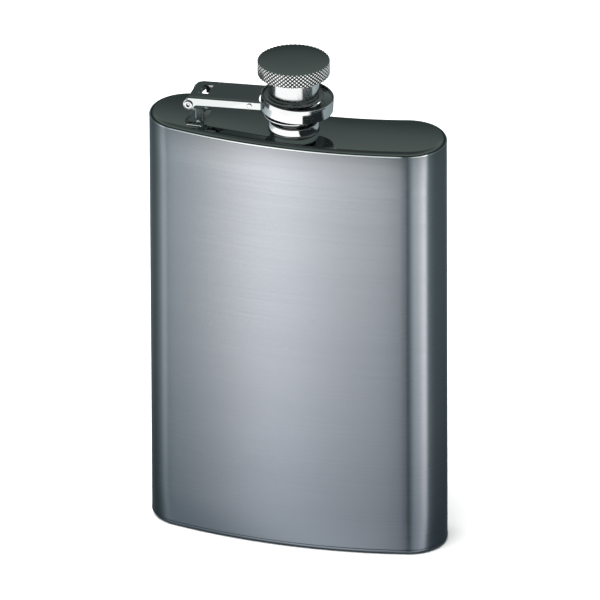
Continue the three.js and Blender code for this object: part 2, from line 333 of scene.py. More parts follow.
def new_group(name, inputs, outputs):
    tree = bpy.data.node_groups.new(name, "ShaderNodeTree")
    for label, kind, value in inputs:
        socket = tree.interface.new_socket(label, in_out="INPUT", socket_type="NodeSocket" + kind)
        if value is not None:
            socket.default_value = value
    for label, kind in outputs:
        tree.interface.new_socket(label, in_out="OUTPUT", socket_type="NodeSocket" + kind)
    n = Nodes(tree)
    return n, tree.nodes.new("NodeGroupInput"), tree.nodes.new("NodeGroupOutput")


def brush_lines_group():
    """Fine lines left by a belt or a wheel. Vector runs along the lines in x and y, and across
    them in z."""
    n, given, out = new_group(
        "Brush Lines",
        [("Vector", "Vector", None), ("Lines", "Float", 1.0), ("Unevenness", "Float", 0.5)],
        [("Height", "Float"), ("Tone", "Float")],
    )
    fine = n.noise(n.stretched(given.outputs["Vector"], (28, 28, 5200)), given.outputs["Lines"],
        3.0, 0.7)
    coarse = n.noise(n.stretched(given.outputs["Vector"], (9, 9, 1300)), given.outputs["Lines"],
        2.0, 0.6)
    broad = n.noise(n.stretched(given.outputs["Vector"], (16, 16, 60)), given.outputs["Lines"], 2.0,
        0.5)
    both = n.math("ADD", n.math("MULTIPLY", fine, 0.6), n.math("MULTIPLY", coarse, 0.4))
    n.link(both, out.inputs["Height"])
    lift = n.math("MULTIPLY", n.math("SUBTRACT", broad, 0.5), given.outputs["Unevenness"])
    n.link(n.math("ADD", both, lift, clamp=True), out.inputs["Tone"])
    return n.tree


def handling_group():
    """Faint smears, polishing haze and stray scratches on bright steel."""
    n, given, out = new_group(
        "Handling Marks",
        [("Vector", "Vector", None), ("Patch Size", "Float", 0.02), ("Amount", "Float", 1.0)],
        [("Haze", "Float"), ("Wave", "Float")],
    )
    scale = n.math("DIVIDE", 1.0, given.outputs["Patch Size"])
    patches = n.noise(given.outputs["Vector"], scale, 4.0, 0.6)
    smears = n.noise(n.stretched(given.outputs["Vector"], (40, 220, 60)), 1.0, 3.0, 0.6)
    hairs = n.noise(n.stretched(given.outputs["Vector"], (60, 2600, 900)), 1.0, 2.0, 0.6)
    haze = n.spread(n.math("MULTIPLY", patches, smears), 0.2, 0.42, 0.0, 0.8)
    hair = n.spread(hairs, 0.66, 0.74, 0.0, 0.5)
    total = n.math("MULTIPLY", n.math("ADD", haze, hair), given.outputs["Amount"], clamp=True)
    n.link(total, out.inputs["Haze"])
    n.link(n.noise(given.outputs["Vector"], 90.0, 1.0, 0.4), out.inputs["Wave"])
    return n.tree


BRUSH_LINES = brush_lines_group()
HANDLING = handling_group()


def steel(name):
    """A metal material and its node calls, with the Principled shader in place."""
    material = bpy.data.materials.new(name)
    material.use_nodes = True
    n = Nodes(material.node_tree)
    shader = material.node_tree.nodes["Principled BSDF"]
    shader.inputs["Metallic"].default_value = 1.0
    return material, n, shader


def placed(n, group, **values):
    node = n.add("Group", node_tree=group)
    for label, value in values.items():
        n.feed(node.inputs[label.replace("_", " ")], value)
    return node


def relief(n, shader, height, depth, strength=1.0):
    bump = n.add("Bump")
    bump.inputs["Strength"].default_value = strength
    bump.inputs["Distance"].default_value = depth
    n.link(height, bump.inputs["Height"])
    n.link(bump.outputs["Normal"], shader.inputs["Normal"])


def lie_along_turning(n, shader, amount, turn=0.0):
    """Stretches highlights across lines that run round the vertical axis."""
    tangent = n.add("Tangent", direction_type="RADIAL", axis="Z")
    n.link(tangent.outputs[0], shader.inputs["Tangent"])
    shader.inputs["Anisotropic"].default_value = amount
    shader.inputs["Anisotropic Rotation"].default_value = turn


def brushed_steel():
    material, n, shader = steel("brushed_steel")
    where = n.add("TexCoord").outputs["Object"]
    lines = placed(n, BRUSH_LINES, Vector=where, Lines=1.0, Unevenness=0.35)
    n.link(n.tint(lines.outputs["Tone"], (0.56, 0.59, 0.63), (0.80, 0.82, 0.86)),
        shader.inputs["Base Color"])
    n.link(n.spread(lines.outputs["Height"], 0.3, 0.7, 0.27, 0.37), shader.inputs["Roughness"])
    relief(n, shader, lines.outputs["Height"], 0.000006, 0.5)
    lie_along_turning(n, shader, 0.87, 0.25)
    return material


def mirror_steel():
    material, n, shader = steel("mirror_steel")
    where = n.add("TexCoord").outputs["Object"]
    marks = placed(n, HANDLING, Vector=where, Patch_Size=0.018, Amount=0.6)
    n.link(n.tint(marks.outputs["Haze"], (0.74, 0.78, 0.77), (0.80, 0.82, 0.81)),
        shader.inputs["Base Color"])
    n.link(n.spread(marks.outputs["Haze"], 0.0, 1.0, 0.035, 0.13), shader.inputs["Roughness"])
    relief(n, shader, marks.outputs["Wave"], 0.00002, 0.25)
    return material


def bright_steel():
    material, n, shader = steel("bright_steel")
    where = n.add("TexCoord").outputs["Object"]
    marks = placed(n, HANDLING, Vector=where, Patch_Size=0.006, Amount=0.9)
    n.link(n.tint(marks.outputs["Haze"], (0.86, 0.87, 0.87), (0.74, 0.75, 0.75)),
        shader.inputs["Base Color"])
    n.link(n.spread(marks.outputs["Haze"], 0.0, 1.0, 0.06, 0.2), shader.inputs["Roughness"])
    relief(n, shader, marks.outputs["Wave"], 0.00003, 0.3)
    return material


def turned_steel():
    material, n, shader = steel("turned_steel")
    where = n.add("TexCoord").outputs["Object"]
    lines = placed(n, BRUSH_LINES, Vector=where, Lines=2.0, Unevenness=0.2)
    n.link(n.tint(lines.outputs["Tone"], (0.74, 0.75, 0.76), (0.9, 0.9, 0.9)),
        shader.inputs["Base Color"])
    n.link(n.spread(lines.outputs["Height"], 0.3, 0.7, 0.1, 0.19), shader.inputs["Roughness"])
    relief(n, shader, lines.outputs["Height"], 0.000004, 0.4)
    lie_along_turning(n, shader, 0.5, 0.25)
    return material


def knurled_steel():
    """Bright on the crests, with painted shade darkening the grooves."""
    material, n, shader = steel("knurled_steel")
    where = n.add("TexCoord").outputs["Object"]
    marks = placed(n, HANDLING, Vector=where, Patch_Size=0.004, Amount=1.0)
    groove = n.add("Attribute", attribute_name="groove").outputs["Fac"]
    depth = n.spread(groove, 0.25, 1.0, 0.0, 1.0)
    # Painted shade: the base colour falls from bright on the crests to near black at the bottom of
    # each groove.
    n.link(n.tint(depth, (0.88, 0.89, 0.89), (0.12, 0.13, 0.13)), shader.inputs["Base Color"])
    rough = n.math("ADD", n.spread(marks.outputs["Haze"], 0.0, 1.0, 0.1, 0.2),
        n.math("MULTIPLY", depth, 0.2))
    n.link(rough, shader.inputs["Roughness"])
    relief(n, shader, marks.outputs["Wave"], 0.00001, 0.3)
    return material


def liner_plastic():
    material, n, shader = steel("liner_plastic")
    shader.inputs["Metallic"].default_value = 0.0
    where = n.add("TexCoord").outputs["Object"]
    grain = n.noise(where, 900.0, 3.0, 0.6)
    n.link(n.tint(grain, (0.80, 0.79, 0.74), (0.90, 0.89, 0.85)), shader.inputs["Base Color"])
    n.link(n.spread(grain, 0.3, 0.7, 0.45, 0.6), shader.inputs["Roughness"])
    relief(n, shader, grain, 0.00002, 0.4)
    return material


BRUSHED = brushed_steel()
MIRROR = mirror_steel()
BRIGHT = bright_steel()
TURNED = turned_steel()
KNURLED = knurled_steel()
LINER = liner_plastic()


# ---- Body ----------------------------------------------------------------------------------------

def section(inset):
    """The kidney outline moved inwards: four tangent arcs, anticlockwise from the front left."""
    lobe_x = WIDTH / 2 - LOBE_RADIUS
    lobe_y = LOBE_REACH - LOBE_RADIUS
    far = lobe_x ** 2 + lobe_y ** 2
    front_step, back_step = FRONT_DEPTH - LOBE_RADIUS, LOBE_RADIUS - BACK_DEPTH
    front_y = (far - front_step ** 2) / (2 * (front_step + lobe_y))
    back_y = (far - back_step ** 2) / (2 * (back_step + lobe_y))
    front_turn = math.atan2(lobe_x, front_y - lobe_y)
    back_turn = math.atan2(lobe_x, back_y - lobe_y)
    quarter = math.pi / 2
    arcs = [
        (0, front_y, front_y + FRONT_DEPTH - inset, -quarter - front_turn, -quarter + front_turn),
        (lobe_x, lobe_y, LOBE_RADIUS - inset, -quarter + front_turn, quarter + back_turn),
        (0, back_y, back_y - BACK_DEPTH + inset, -quarter + back_turn, -quarter - back_turn),
        (-lobe_x, lobe_y, LOBE_RADIUS - inset, quarter - back_turn, 3 * quarter - front_turn),
    ]
    line = []
    for x, y, radius, start, end in arcs:
        for k in range(SECTION_STEPS):
            angle = start + (end - start) * k / SECTION_STEPS
            line.append((x + radius * math.cos(angle), y + radius * math.sin(angle)))
    return line


def section_walls(layers):
    """Points and faces through outlines given as (inset, z), the last joined to the first."""
    points, faces = [], []
    for inset, z in layers:
        points += [(x, y, z) for x, y in section(inset)]
    count = 4 * SECTION_STEPS
    for i in range(len(layers)):
        low, high = i * count, (i + 1) % len(layers) * count
        for k in range(count):
            n = (k + 1) % count
            faces.append([low + k, low + n, high + n, high + k])
    return outward(points, faces)


def end_plate(round_, hole):
    """A drawn plate, rim down, with its rounded edge; hole is the neck hole's radius, or 0 for
    none."""
    count = 4 * SECTION_STEPS
    steps = 8
    skins = []
    for inset, radius, top in ((SEAM_STEP * 0.2, round_, 0.0), (WALL, round_ - WALL, -WALL)):
        skin = [(inset, -round_)]
        for k in range(steps + 1):
            turn = math.pi / 2 * k / steps
            skin.append((inset + radius * (1 - math.cos(turn)),
                top - radius + radius * math.sin(turn)))
        skins.append(skin)
    points, faces, ends = [], [], []
    for skin in skins:
        for inset, z in skin:
            points += [(x, y, z) for x, y in section(inset)]
    for s, skin in enumerate(skins):
        base = s * len(skins[0]) * count
        for i in range(len(skin) - 1):
            low, high = base + i * count, base + (i + 1) * count
            for k in range(count):
                n = (k + 1) % count
                quad = [low + k, low + n, high + n, high + k]
                faces.append(quad if s == 0 else quad[::-1])
        ends.append(base + (len(skin) - 1) * count)
    under = len(skins[0]) * count
    for k in range(count):
        n = (k + 1) % count
        faces.append([n, k, under + k, under + n])
    holes = []
    for end, z in zip(ends, (0.0, -WALL)):
        first = len(points)
        for k in range(count):
            x, y, _ = points[end + k]
            size = math.hypot(x, y)
            points.append((x / size * hole, y / size * hole, z))
        holes.append(first)
        for k in range(count):
            n = (k + 1) % count
            quad = [end + k, end + n, first + n, first + k]
            faces.append(quad if z == 0 else quad[::-1])
    for k in range(count):
        n = (k + 1) % count
        faces.append([holes[0] + k, holes[0] + n, holes[1] + n, holes[1] + k])
    return points, faces


def build_body():
    top, bottom = -TOP_ROUND, BOTTOM_ROUND - HEIGHT
    step = SEAM_STEP
    layers = [(step + RIM_BREAK, bottom), (step + RIM_BREAK * 0.3, bottom + RIM_BREAK * 0.3),
        (step, bottom + RIM_BREAK)]
    layers += [(step, bottom + (top - bottom) * k / 12) for k in range(1, 12)]
    layers += [(step, top - RIM_BREAK), (step + RIM_BREAK * 0.3, top - RIM_BREAK * 0.3),
        (step + RIM_BREAK, top)]
    layers += [(WALL, top), (WALL, bottom)]
    points, faces = section_walls(layers)
    make_piece("brushed_shell", points, faces, "flask", "brushed_body", BRUSHED, ["body_shell"], 60)
    points, faces = end_plate(TOP_ROUND, 5.15)
    make_piece("polished_top", points, faces, "flask", "polished_plate", MIRROR, ["top_plate"], 40)
    points, faces = end_plate(BOTTOM_ROUND, 0.0001)
    upside_down = [(x, y, -z - HEIGHT) for x, y, z in points]
    flipped = [f[::-1] for f in faces]
    make_piece("brushed_base", upside_down, flipped, "flask", "brushed_body", BRUSHED,
        ["bottom_plate"], 40)


# ---- Neck ----------------------------------------------------------------------------------------

def build_neck():
    radius = (collar_high.x - collar_low.x) / 2 / MM
    height = above_plate(collar_high.z)
    inner = 5.15
    line = rounded([
        (inner, 0, 0), (radius + 0.35, 0, 0), (radius + 0.3, 0.16, 0.1), (radius, 0.45, 0.3),
        (radius, height, 0.45),
        (inner, height, 0.2), (inner, 0, 0),
    ])
    make_piece("neck_ring", *turned(line), "flask", "bright_fittings", TURNED, ["neck_collar"])
    top = above_plate(spout_high.z)
    foot = above_plate(spout_low.z)
    bore, wall = 4.4, 5.1
    line = rounded([
        (bore, foot, 0), (7.0, foot, 0.2), (7.0, -WALL - 0.02, 0.1), (wall, -WALL - 0.02, 0),
        (wall, top, 0.3),
        (bore, top, 0.25), (bore, foot, 0),
    ])
    make_piece("spout_tube", *turned(line), "flask", "bright_fittings", BRIGHT, ["neck_spout"])
    thread = helix_wire(wall - 0.05, 0.45, top - 6.2, top - 1.0, 2.0)
    make_piece("spout_thread", *thread, "flask", "bright_fittings", BRIGHT)


# ---- Cap -----------------------------------------------------------------------------------------

def knurl_height(turn, rise):
    """0 in the grooves to 1 on the crests of two crossing sets of grooves."""
    def ridge(phase):
        return min(1.0, (1 - abs(2 * (phase % 1.0) - 1)) / (1 - KNURL_FLAT))
    return min(ridge(turn + rise), ridge(turn - rise))


def build_cap_head():
    radius = (head_high.x - head_low.x) / 2 / MM
    top, bottom = above_plate(head_high.z), above_plate(head_low.z)
    columns = KNURLS_ROUND * KNURL_FINENESS
    crown, edge, lower = 0.2, 0.03, 0.06
    knurl_low, knurl_high = bottom + lower, top - edge - crown
    rows = int(KNURL_ROWS * KNURL_FINENESS)
    rings = [(0.02, bottom, 0), (7.4, bottom, 0), (radius - 0.5, bottom, 0),
        (radius - 0.4, bottom + 0.02, 0)]
    rings += [(radius, knurl_low + (knurl_high - knurl_low) * k / rows, 1) for k in range(rows + 1)]
    rings += [(radius - 0.3, top - crown - 0.02, 0), (radius - 0.42, top - crown, 0)]
    rings += [(share * (radius - 0.42), top - crown * share ** 3, 0) for share in (0.97, 0.9, 0.8,
        0.6, 0.3, 0.002)]
    points, groove = [], []
    for i, (r, z, cut) in enumerate(rings):
        for k in range(columns):
            angle = 2 * math.pi * k / columns
            depth = 0.0
            if cut:
                rise = (z - knurl_low) / (knurl_high - knurl_low) * KNURL_ROWS
                depth = 1 - knurl_height(k / KNURL_FINENESS, rise)
            reach = r - KNURL_DEPTH * depth
            points.append((reach * math.cos(angle), reach * math.sin(angle), z))
            groove.append(depth)
    faces = []
    for i in range(len(rings) - 1):
        for k in range(columns):
            n = (k + 1) % columns
            a, b, c, d = i * columns + k, i * columns + n, (i + 1) * columns + n, (i + 1) * columns + k
            if abs(groove[a] - groove[c]) < abs(groove[b] - groove[d]):
                faces += [[a, b, c], [a, c, d]]
            else:
                faces += [[a, b, d], [b, c, d]]
    faces.append(list(reversed(range(columns))))
    faces.append(list(range((len(rings) - 1) * columns, len(rings) * columns)))
    head = make_piece("knurled_head", points, faces, "cap", "turned_cap", MIRROR, ["cap_head"], 28)
    head.data.materials.append(KNURLED)
    attribute = head.data.attributes.new("groove", "FLOAT", "POINT")
    attribute.data.foreach_set("value", groove)
    first, last = 3, 4 + rows
    for i, face in enumerate(head.data.polygons):
        if first <= i // (2 * columns) <= last:
            face.material_index = 1
    return head


def build_cap_sleeve():
    skirt = (sleeve_high.x - sleeve_low.x) / 2 / MM
    bottom = above_plate(sleeve_low.z)
    head = above_plate(head_low.z)
    shoulder = above_plate(slip_high.z) + 0.05
    roof, bore, lower = 14.4, 6.5, 7.1
    line = rounded([
        (0, roof, 0), (bore, roof, 0.2), (bore, bottom, 0.15), (lower, bottom, 0.1),
        (lower, shoulder, 0),
        (skirt - 0.2, shoulder, 0.05), (skirt - 0.15, shoulder + 0.25, 0.08),
        (skirt, shoulder + 0.5, 0.15), (skirt, head, 0), (6.0, head, 0),
        (0, head + 0.1, 0),
    ])
    make_piece("cap_skirt", *turned(line), "cap", "bright_fittings", TURNED, ["cap_sleeve"])
    thread = helix_wire(bore + 0.05, 0.42, bottom + 1.0, bottom + 6.2, 2.0)
    make_piece("cap_thread", *thread, "cap", "bright_fittings", BRIGHT)


def build_washers():
    for name, node, body, low, high in (
        ("loose_washer", "slip_washer", "cap_slide", slip_low, slip_high),
        ("swaged_rim", "retaining_washer", "cap", swage_low, swage_high),
    ):
        outer = (high.x - low.x) / 2 / MM
        z0, z1 = above_plate(low.z), above_plate(high.z)
        edge = (z1 - z0) * 0.4
        line = rounded([
            (7.15, z0, 0), (outer, z0, edge), (outer, z1, edge), (7.15, z1, 0), (7.15, z0, 0),
        ])
        make_piece(name, *turned(line), body, "bright_fittings", BRIGHT, [node])


def build_gasket():
    low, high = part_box("cap_gasket")
    radius = (high.x - low.x) / 2 / MM
    z0, z1 = above_plate(low.z), above_plate(high.z)
    line = rounded([
        (0, z0 + 0.12, 0), (3.6, z0 + 0.12, 0.1), (3.8, z0, 0.1), (radius, z0, 0.25),
        (radius, z1, 0.1), (0, z1, 0),
    ])
    make_piece("liner_disc", *turned(line, 96), "cap", "seal", LINER, ["cap_gasket"])


# ---- Ring and arm --------------------------------------------------------------------------------

def build_ring():
    inner = RING_RADIUS - RING_WALL
    web = RING_HEIGHT - RING_WEB_DROP
    line = rounded([
        (inner, 0, 0), (RING_RADIUS, 0, 0.18), (RING_RADIUS, RING_HEIGHT, 0.24),
        (inner, RING_HEIGHT, 0.2),
        (inner, web, 0.1), (RING_HOLE, web, 0.15), (RING_HOLE, web - RING_WEB, 0.15),
        (inner, web - RING_WEB, 0.1),
        (inner, 0, 0),
    ])
    points, faces = turned(line, 200)
    points = [(x - RING_SHIFT * hole_share(x, y), y, z) for x, y, z in points]
    make_piece("captive_loop", tilted(points), faces, "arm", "bright_fittings", BRIGHT,
        ["captive_ring"])


def hole_share(x, y):
    """1 at the edge of the ring's hole, which is centred on the cap, fading to 0 at the ring's
    wall."""
    wall = RING_RADIUS - RING_WALL
    return max(0.0, min(1.0, (wall - 0.4 - math.hypot(x, y)) / (wall - 0.6 - RING_HOLE)))


def arm_top(x):
    return ARM_RISE + (x + ARM_EAR) * ARM_SLOPE


def arm_hem(x):
    """The lower edge of the arm's flange: round the pin, then rising to the flange's own depth."""
    share = max(0.0, min(1.0, x / ARM_RUN))
    smooth = share * share * (3 - 2 * share)
    return -ARM_EAR * (1 - smooth) + (arm_top(max(x, ARM_RUN)) - ARM_FLANGE) * smooth


def build_arm():
    """A folded strip with rounded bends, cut round at the ring, a round ear about the pin at each
    side."""
    half = (arm_high.y - arm_low.y) / 2 / MM
    pin_x = (pin_low.x + pin_high.x) / 2 / MM
    pin_z = above_plate((pin_low.z + pin_high.z) / 2)
    bends = 6
    flats = [half - ARM_BEND, 5.2, 4.4, 3.6, WINDOW_Y[1], 1.6, 0.0, -1.5, WINDOW_Y[0], -3.8, -4.8,
        ARM_BEND - half]
    bend = [math.pi / 2 * k / bends for k in range(bends)]
    sides = (0.0, 0.08, 0.18, 0.3, 0.42, 0.54, 0.66, 0.77, 0.86, 0.91, 0.94)
    columns = [("side", 1, s) for s in sides]
    columns += [("bend", 1, turn) for turn in bend]
    columns += [("flat", 0, y) for y in flats]
    columns += [("bend", -1, turn) for turn in reversed(bend)]
    columns += [("side", -1, s) for s in reversed(sides)]

    def station(share, inset):
        row = []
        for kind, side, value in columns:
            start = -ARM_BACK
            if kind == "flat":
                y, fall, sink = value, 0.0, inset
                over = max(0.0, y - (half - ARM_BEND - ARM_CORNER))
                start += ARM_CORNER - math.sqrt(ARM_CORNER ** 2 - min(over, ARM_CORNER) ** 2)
            elif kind == "bend":
                reach = ARM_BEND - inset
                y = side * (half - ARM_BEND + reach * math.cos(value))
                fall = -ARM_BEND + reach * math.sin(value)
                sink = 0.0
                start += ARM_CORNER * 0.8 if side > 0 else 0.0
            else:
                y = side * (half - inset)
                rise = value * (arm_top(0) - ARM_BEND + ARM_EAR) - ARM_EAR
                start = min(start if value > 0.5 else 0.0,
                    -math.sqrt(max(0.0, ARM_EAR ** 2 - rise ** 2)))
            end = RING_SHIFT - math.sqrt((RING_RADIUS + ARM_GAP) ** 2 - min(abs(y),
                half) ** 2) - pin_x
            x = start + (end - start) * share
            if kind == "side":
                hem = arm_hem(x)
                z = hem + (arm_top(x) - ARM_BEND - hem) * value
            else:
                z = arm_top(x) + fall - sink
            row.append((x + pin_x, y, z + pin_z))
        return row

    reach = RING_SHIFT - RING_RADIUS - ARM_GAP - pin_x
    window = [(w + ARM_BACK) / (reach + ARM_BACK) for w in WINDOW_X]
    steps = {0.01 * k for k in range(12)} | {0.15 + 0.05 * k for k in range(18)}
    shares = sorted({s for s in steps if not any(abs(s - w) < 0.006 for w in window)} | set(window))
    outer = [station(s, 0.0) for s in shares]
    inner = [station(s, ARM_SHEET) for s in shares]
    first_flat = len(sides) + bends
    gone = set()
    for i, share in enumerate(shares[:-1]):
        middle = (share + shares[i + 1]) / 2
        for j in range(first_flat, first_flat + len(flats) - 1):
            y = (columns[j][2] + columns[j + 1][2]) / 2
            if window[0] < middle < window[1] and WINDOW_Y[0] < y < WINDOW_Y[1]:
                gone.add((i, j))
    points, faces = folded(outer, inner, gone)
    make_piece("folded_arm", points, faces, "arm", "polished_plate", MIRROR, ["hinge_arm"], 40)
    left, right = pin_x + WINDOW_X[0] + 0.9, pin_x + WINDOW_X[1] + 0.3
    rear = WINDOW_Y[1] + 0.05
    low = pin_z + ARM_RISE - TAB_DEPTH
    outer, inner = [], []
    for share in (0.0, 0.12, 0.3, 0.6, 1.0):
        lean = -0.12 * share
        z = pin_z + arm_top(WINDOW_X[0]) - ARM_SHEET - TAB_DEPTH * share
        outer.append([(x, rear - lean, z) for x in (left, left + 0.6, right - 0.6, right)])
        inner.append([(x, rear - lean + 0.35, z) for x in (left, left + 0.6, right - 0.6, right)])
    make_piece("stop_tab", *folded(outer, inner), "arm", "polished_plate", BRIGHT, (), 40)


def button_head(radius, height):
    """A low domed rivet head on the axis, its flat face at z = 0."""
    line = [(0, height * 0.86), (radius * 0.45, height * 0.9), (radius * 0.75, height),
        (radius * 0.95, height * 0.7)]
    return line + [(radius, height * 0.3), (radius, 0), (0, 0)]


def build_ring_rivets():
    low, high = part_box("ring_rivet_front")
    x, z = (low.x + high.x) / 2 / MM, above_plate((low.z + high.z) / 2)
    half = (arm_high.y - arm_low.y) / 2 / MM
    points, faces = turned(button_head(0.8, 0.28), 32)
    for name, node, side in (("rivet_front", "ring_rivet_front", -1),
            ("rivet_rear", "ring_rivet_rear", 1)):
        placed_points = [(px + x, side * (pz + half), py + z) for px, py, pz in points]
        turned_faces = outward(placed_points, faces)[1]
        make_piece(name, placed_points, turned_faces, "arm", "bright_fittings", BRIGHT, [node])


# ---- Hinge ---------------------------------------------------------------------------------------

def build_hinge_pin():
    """A tubular rivet: a shank through both ears with a rolled eye at each end."""
    x, z = (pin_low.x + pin_high.x) / 2 / MM, above_plate((pin_low.z + pin_high.z) / 2)
    reach = (pin_high.y - pin_low.y) / 2 / MM
    head, shank, eye, thick = 1.35, 0.9, 0.52, 0.5
    line = rounded([
        (0, reach - 1.6, 0), (eye, reach - 1.6, 0.1), (eye, reach, 0.2), (head, reach, 0.24),
        (head, reach - thick, 0.1),
        (shank, reach - thick, 0), (shank, -reach + thick, 0), (head, -reach + thick, 0.1),
        (head, -reach, 0.24),
        (eye, -reach, 0.2), (eye, -reach + 1.6, 0.1), (0, -reach + 1.6, 0),
    ])
    points, faces = turned(line, 48)
    placed_points = [(px + x, pz, py + z) for px, py, pz in points]
    make_piece("tube_rivet", placed_points, outward(placed_points, faces)[1], "flask",
        "bright_fittings", BRIGHT, ["hinge_pin"])
    for name, node in (("washer_front", "pin_washer_front"), ("washer_rear", "pin_washer_rear")):
        low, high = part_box(node)
        outer = (high.x - low.x) / 2 / MM
        y0, y1 = (low.y - AXIS_Y) / MM, (high.y - AXIS_Y) / MM
        ring = rounded([(0.95, y0, 0), (outer, y0, 0.08), (outer, y1, 0.08), (0.95, y1, 0),
            (0.95, y0, 0)])
        points, faces = turned(ring, 40)
        placed_points = [(px + x, pz, py + z) for px, py, pz in points]
        make_piece(name, placed_points, outward(placed_points, faces)[1], "flask",
            "bright_fittings", BRIGHT, [node])


def build_bracket():
    """One strip folded up into two ears, its foot spot welded to the plate."""
    x0, z0 = (pin_low.x + pin_high.x) / 2 / MM, above_plate((pin_low.z + pin_high.z) / 2)
    reach = (bracket_high.y - bracket_low.y) / 2 / MM
    back, front = x0 - bracket_low.x / MM, bracket_high.x / MM - x0
    ear, sheet, bend = 1.5, 0.7, 1.0

    def edges(z):
        """Where the ear's two edges are at height z from the pin."""
        rise = (z + z0) / z0
        spread = max(0.0, 1 - rise * 3.2)
        spread = spread * spread * (3 - 2 * spread)
        if z > -1.0:
            left = -math.sqrt(max(0.0, ear ** 2 - min(ear, abs(z)) ** 2))
            right = -left
        else:
            neck = min(1.0, (-z - 1.0) / 1.2)
            neck = neck * neck * (3 - 2 * neck)
            left, right = -1.12 + 1.75 * neck, 1.12 + 0.75 * neck
        return left * (1 - spread) - back * spread, right * (1 - spread) + front * spread

    path = []
    heights = [ear * math.cos(math.radians(a)) for a in (4, 20, 40, 60, 80)]
    heights += [-0.5, -1.0, -1.3, -1.7, -2.2, -3.0, -4.0, -4.6, -5.2, -z0 + bend]
    for z in heights:
        path.append((reach, z, 0.0))
    for k in range(1, 7):
        turn = math.pi / 2 * k / 6
        path.append((reach - bend + bend * math.cos(turn), -z0 + bend - bend * math.sin(turn),
            turn))
    path.append((0.0, -z0, math.pi / 2))
    whole = path + [(-y, z, math.pi - turn) for y, z, turn in reversed(path[:-1])]
    columns = 9

    def skin(inset):
        rows = []
        for y, z, turn in whole:
            left, right = edges(z)
            inner_y = y - inset * math.cos(turn)
            inner_z = z + inset * math.sin(turn)
            rows.append([(x0 + left + (right - left) * k / (columns - 1), inner_y,
                z0 + inner_z) for k in range(columns)])
        return rows

    points, faces = folded(skin(0.0), skin(sheet))
    make_piece("bracket_fold", points, faces, "flask", "bright_fittings", BRIGHT, ["hinge_bracket"],
        40)


# ---- Studio --------------------------------------------------------------------------------------

def build_floor():
    mesh = bpy.data.meshes.new("floor")
    size = 12.0
    mesh.from_pydata([(-size, -size, 0), (size, -size, 0), (size, size, 0), (-size, size, 0)], [],
        [[0, 1, 2, 3]])
    floor = bpy.data.objects.new("floor", mesh)
    bpy.context.scene.collection.objects.link(floor)
    material = bpy.data.materials.new("pale_floor")
    material.use_nodes = True
    shader = material.node_tree.nodes["Principled BSDF"]
    shader.inputs["Base Color"].default_value = (0.93, 0.93, 0.93, 1)
    shader.inputs["Roughness"].default_value = 0.9
    shader.inputs["Specular IOR Level"].default_value = 0.0
    mesh.materials.append(material)
    floor.location.z = -0.0004
    floor.visible_glossy = False


# Brightness by compass angle: 0 is the front, and it grows towards the right.
# What the body's steel sees below the horizon.
BODY_BANDS = [
    (-180, 0.26), (-150, 0.32), (-132, 0.16), (-112, 0.10), (-96, 0.13), (-78, 0.30), (-68, 0.60),
    (-60, 0.64),
    (-52, 0.40), (-44, 0.45), (-38, 0.64), (-30, 1.0), (-24, 1.42), (-18, 1.62), (-12, 1.38),
    (-3, 1.06), (4, 0.90),
    (9, 0.86), (11, 0.12), (18, 0.13), (25, 0.38), (34, 0.68), (50, 0.80), (60, 1.15), (70, 1.5),
    (75, 0.28),
    (100, 0.12), (124, 0.11), (150, 0.10), (172, 0.15), (180, 0.26),
]
# What the fittings above the plate see, in three rings outwards: the captive ring, the skirt and
# arm, the grip.
FITTING_BANDS = [
    (-180, 0.20), (-110, 0.16), (-74, 0.50), (-58, 0.70), (-50, 1.25), (30, 1.25), (32, 0.02),
    (84, 0.02), (90, 0.36),
    (150, 0.25), (180, 0.20),
]
SKIRT_BANDS = [
    (-180, 0.30), (-110, 0.08), (-69, 0.07), (-65, 1.15), (-28, 1.15), (46, 1.15), (54, 0.05),
    (97, 0.05), (102, 0.45),
    (180, 0.30),
]
GRIP_BANDS = [(-180, 0.80), (-90, 1.15), (-40, 1.4), (40, 1.35), (90, 1.1), (180, 0.80)]
FITTING_REACH, SKIRT_REACH, GRIP_REACH = 0.0295, 0.0445, 0.085
DEEP_TINT = (0.74, 1.0, 1.06)


def band_ramp(n, compass, bands):
    """A colour ramp round the compass; darker levels lean to teal."""
    share = n.math("ADD", n.math("DIVIDE", compass, 2 * math.pi), 0.5)
    stops = []
    for angle, level in bands:
        mix = min(1.0, level)
        stops.append((angle / 360 + 0.5, tuple(level * (t + (1 - t) * mix) for t in DEEP_TINT)))
    return n.ramp(share, stops)


def flat_card(name, size, height):
    """A level card that only reflections see, and its nodes, ready for a shader."""
    mesh = bpy.data.meshes.new(name)
    mesh.from_pydata([(-size, -size, 0), (size, -size, 0), (size, size, 0), (-size, size, 0)], [],
        [[0, 1, 2, 3]])
    card = bpy.data.objects.new(name, mesh)
    bpy.context.scene.collection.objects.link(card)
    material = bpy.data.materials.new(name)
    material.use_nodes = True
    material.cycles.emission_sampling = "NONE"
    material.node_tree.nodes.remove(material.node_tree.nodes["Principled BSDF"])
    mesh.materials.append(material)
    card.location.z = height
    card.visible_camera = False
    card.visible_diffuse = False
    card.visible_shadow = False
    return Nodes(material.node_tree), material.node_tree.nodes["Material Output"].inputs[0]


def build_shade_card():
    """A clear sheet just over the floor, which dims what the steel reflects close to the flask."""
    n, surface = flat_card("shade_card", 3.0, -0.0002)
    oval = n.add("VectorMath", operation="LENGTH")
    n.link(n.stretched(n.add("NewGeometry").outputs["Position"], (1.6, 1, 1)), oval.inputs[0])
    dim = n.ramp(n.spread(oval.outputs["Value"], 0.0, 0.285, 0.0, 1.0), [
        (0.0, (0.30, 0.335, 0.365)), (0.5, (0.48, 0.495, 0.535)), (1.0, (1.0, 1.0, 1.0)),
    ])
    clear = n.add("BsdfTransparent")
    n.link(dim, clear.inputs[0])
    n.link(clear.outputs[0], surface)


